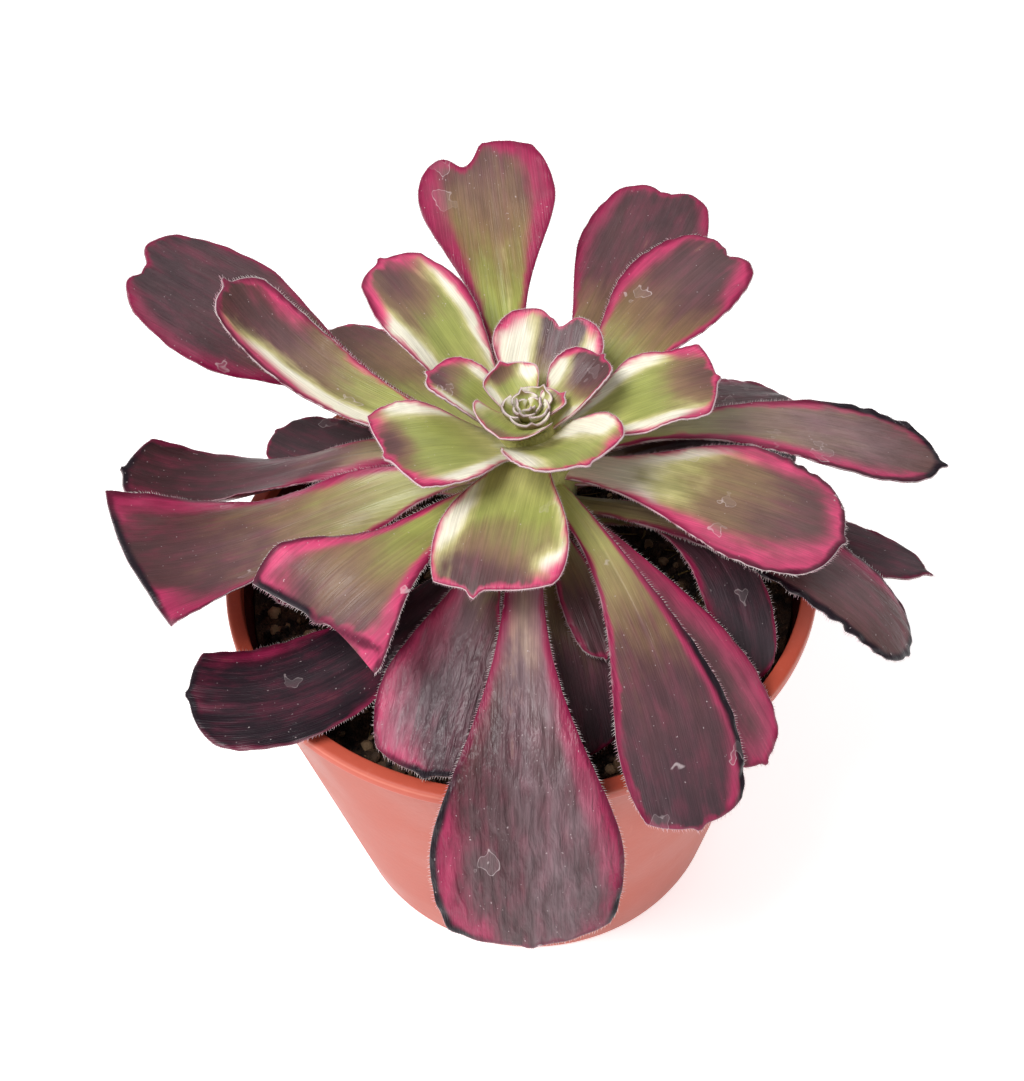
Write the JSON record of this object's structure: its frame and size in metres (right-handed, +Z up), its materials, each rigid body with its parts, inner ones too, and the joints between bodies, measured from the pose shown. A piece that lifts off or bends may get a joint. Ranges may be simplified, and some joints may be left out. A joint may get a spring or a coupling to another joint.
{
  "type": "potted aeonium",
  "caption": "Succulent with a loose rosette of broad spoon-shaped leaves, dark purple with pink edges, growing on a short stem in a round tapered plastic pot of soil.",
  "frame": {"origin": "centre of the pot's flat base, on the surface it stands on", "axes": "+Z up, along the pot's axis; -Y towards the side seen from the front, +X to the right seen from there"},
  "size_m": [0.1815, 0.1544, 0.1556],
  "materials": {
    "pot": "satin",
    "soil": "matte",
    "stem": "matte",
    "heart_leaves": "satin",
    "inner_leaves": "satin",
    "middle_leaves": "satin",
    "outer_leaves": "satin"
  },
  "bodies": {
    "root": {"pot": "pot", "soil": "soil", "stem": "stem", "rosette_heart": "heart_leaves", "inner_leaf_01": "inner_leaves", "inner_leaf_02": "inner_leaves", "inner_leaf_03": "inner_leaves", "inner_leaf_04": "inner_leaves", "inner_leaf_05": "inner_leaves", "inner_leaf_06": "inner_leaves", "inner_leaf_07": "inner_leaves", "inner_leaf_08": "inner_leaves", "middle_leaf_01": "middle_leaves", "middle_leaf_02": "middle_leaves", "middle_leaf_03": "middle_leaves", "middle_leaf_04": "middle_leaves", "middle_leaf_05": "middle_leaves", "middle_leaf_06": "middle_leaves", "middle_leaf_07": "middle_leaves", "middle_leaf_08": "middle_leaves", "outer_leaf_01": "outer_leaves", "outer_leaf_02": "outer_leaves", "outer_leaf_03": "outer_leaves", "outer_leaf_04": "outer_leaves", "outer_leaf_05": "outer_leaves", "outer_leaf_06": "outer_leaves", "outer_leaf_07": "outer_leaves", "outer_leaf_08": "outer_leaves", "outer_leaf_09": "outer_leaves", "outer_leaf_10": "outer_leaves", "outer_leaf_11": "outer_leaves", "outer_leaf_12": "outer_leaves", "outer_leaf_13": "outer_leaves", "outer_leaf_14": "outer_leaves", "outer_leaf_15": "outer_leaves", "outer_leaf_16": "outer_leaves", "outer_leaf_17": "outer_leaves", "outer_leaf_18": "outer_leaves", "outer_leaf_19": "outer_leaves", "outer_leaf_20": "outer_leaves", "outer_leaf_21": "outer_leaves", "outer_leaf_22": "outer_leaves", "outer_leaf_23": "outer_leaves"}
  },
  "joints": []
}
